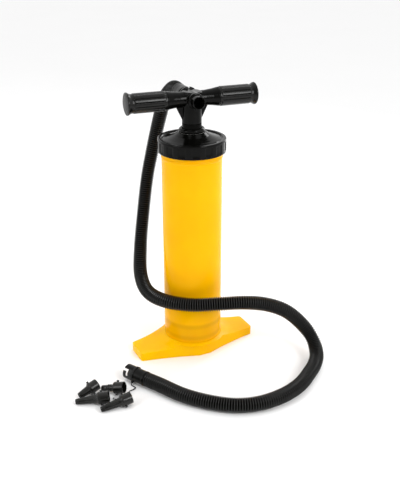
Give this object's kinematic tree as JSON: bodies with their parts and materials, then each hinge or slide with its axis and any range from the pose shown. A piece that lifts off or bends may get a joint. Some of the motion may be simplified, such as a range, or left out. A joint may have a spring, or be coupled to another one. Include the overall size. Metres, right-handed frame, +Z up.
{
  "type": "double-action hand air pump",
  "caption": "Upright hand pump with a T-handle, translucent barrel, wide foot and corrugated hose ending in a bayonet cuff with loose nozzles.",
  "frame": {"origin": "centre of the foot's underside, on the barrel's axis", "axes": "+Z up the barrel to the handle, +X along the foot, -Y the side that the front port faces"},
  "size_m": [0.4312, 0.3949, 0.4627],
  "materials": {
    "foot_yellow": "moulded, semi-gloss, slightly translucent",
    "barrel_yellow": "blow-moulded translucent, smooth gloss",
    "black_plastic": "moulded gloss",
    "grip_black": "satin, ribbed",
    "grip_cap_black": "satin",
    "cuff_black": "moulded satin",
    "hose_black": "corrugated, satin",
    "lanyard_black": "satin cord",
    "nozzle_black": "moulded satin",
    "rubber": "matt",
    "piston_plastic": "moulded",
    "guide_grey": "moulded",
    "spring_steel": "plain"
  },
  "bodies": {
    "root": {"base_foot": "foot_yellow", "base_seal_ring": "rubber", "barrel": "barrel_yellow", "cap": "black_plastic", "cap_seal": "rubber", "rod_bushing": "guide_grey", "rod_seal": "rubber", "rod_collar": "black_plastic", "hose_lower": "hose_black", "hose_cuff_free_end": "cuff_black", "lanyard_band": "lanyard_black", "lanyard": "lanyard_black", "lanyard_knot": "lanyard_black", "nozzle_short_cone": "nozzle_black", "nozzle_straight": "nozzle_black", "nozzle_long_taper": "nozzle_black", "nozzle_slotted": "nozzle_black"},
    "piston": {"piston_lower_plate": "piston_plastic", "piston_core": "piston_plastic", "piston_upper_plate": "piston_plastic", "piston_seal": "rubber"},
    "handle": {"rod_tube": "black_plastic", "rod_snap_ring": "spring_steel", "inner_air_tube": "guide_grey", "handle_body": "black_plastic", "grip_left": "grip_black", "grip_right": "grip_black", "grip_cap_left": "grip_cap_black", "grip_cap_right": "grip_cap_black", "hose_cuff_pump_end": "cuff_black", "hose_upper": "hose_black"},
    "inlet_flap_upper": {"inlet_flap_upper": "rubber"},
    "inlet_flap_lower": {"inlet_flap_lower": "rubber"},
    "outlet_flap_upper": {"outlet_flap_upper": "rubber"},
    "outlet_flap_lower": {"outlet_flap_lower": "rubber"}
  },
  "joints": [
    {"name": "pump_stroke", "type": "slide", "parent": "root", "child": "piston", "axis": [0, 0, 1], "range_m": [0, 0.265], "deforming": ["hose_lower"]},
    {"name": "handle_turn", "type": "hinge", "parent": "piston", "child": "handle", "pos_m": [0, 0, 0.1], "axis": [0, 0, 1], "range_deg": [-40, 40], "deforming": ["hose_upper"]},
    {"name": "inlet_flap_upper_lift", "type": "slide", "parent": "piston", "child": "inlet_flap_upper", "axis": [0, 0, 1], "range_m": [0, 0.0015], "stiffness_N_per_m": 30, "springref_m": -0.001},
    {"name": "inlet_flap_lower_lift", "type": "slide", "parent": "piston", "child": "inlet_flap_lower", "axis": [0, 0, -1], "range_m": [0, 0.0015], "stiffness_N_per_m": 30, "springref_m": -0.001},
    {"name": "outlet_flap_upper_lift", "type": "slide", "parent": "piston", "child": "outlet_flap_upper", "axis": [0, 0, -1], "range_m": [0, 0.0015], "stiffness_N_per_m": 30, "springref_m": -0.001},
    {"name": "outlet_flap_lower_lift", "type": "slide", "parent": "piston", "child": "outlet_flap_lower", "axis": [0, 0, 1], "range_m": [0, 0.0015], "stiffness_N_per_m": 30, "springref_m": -0.001}
  ]
}
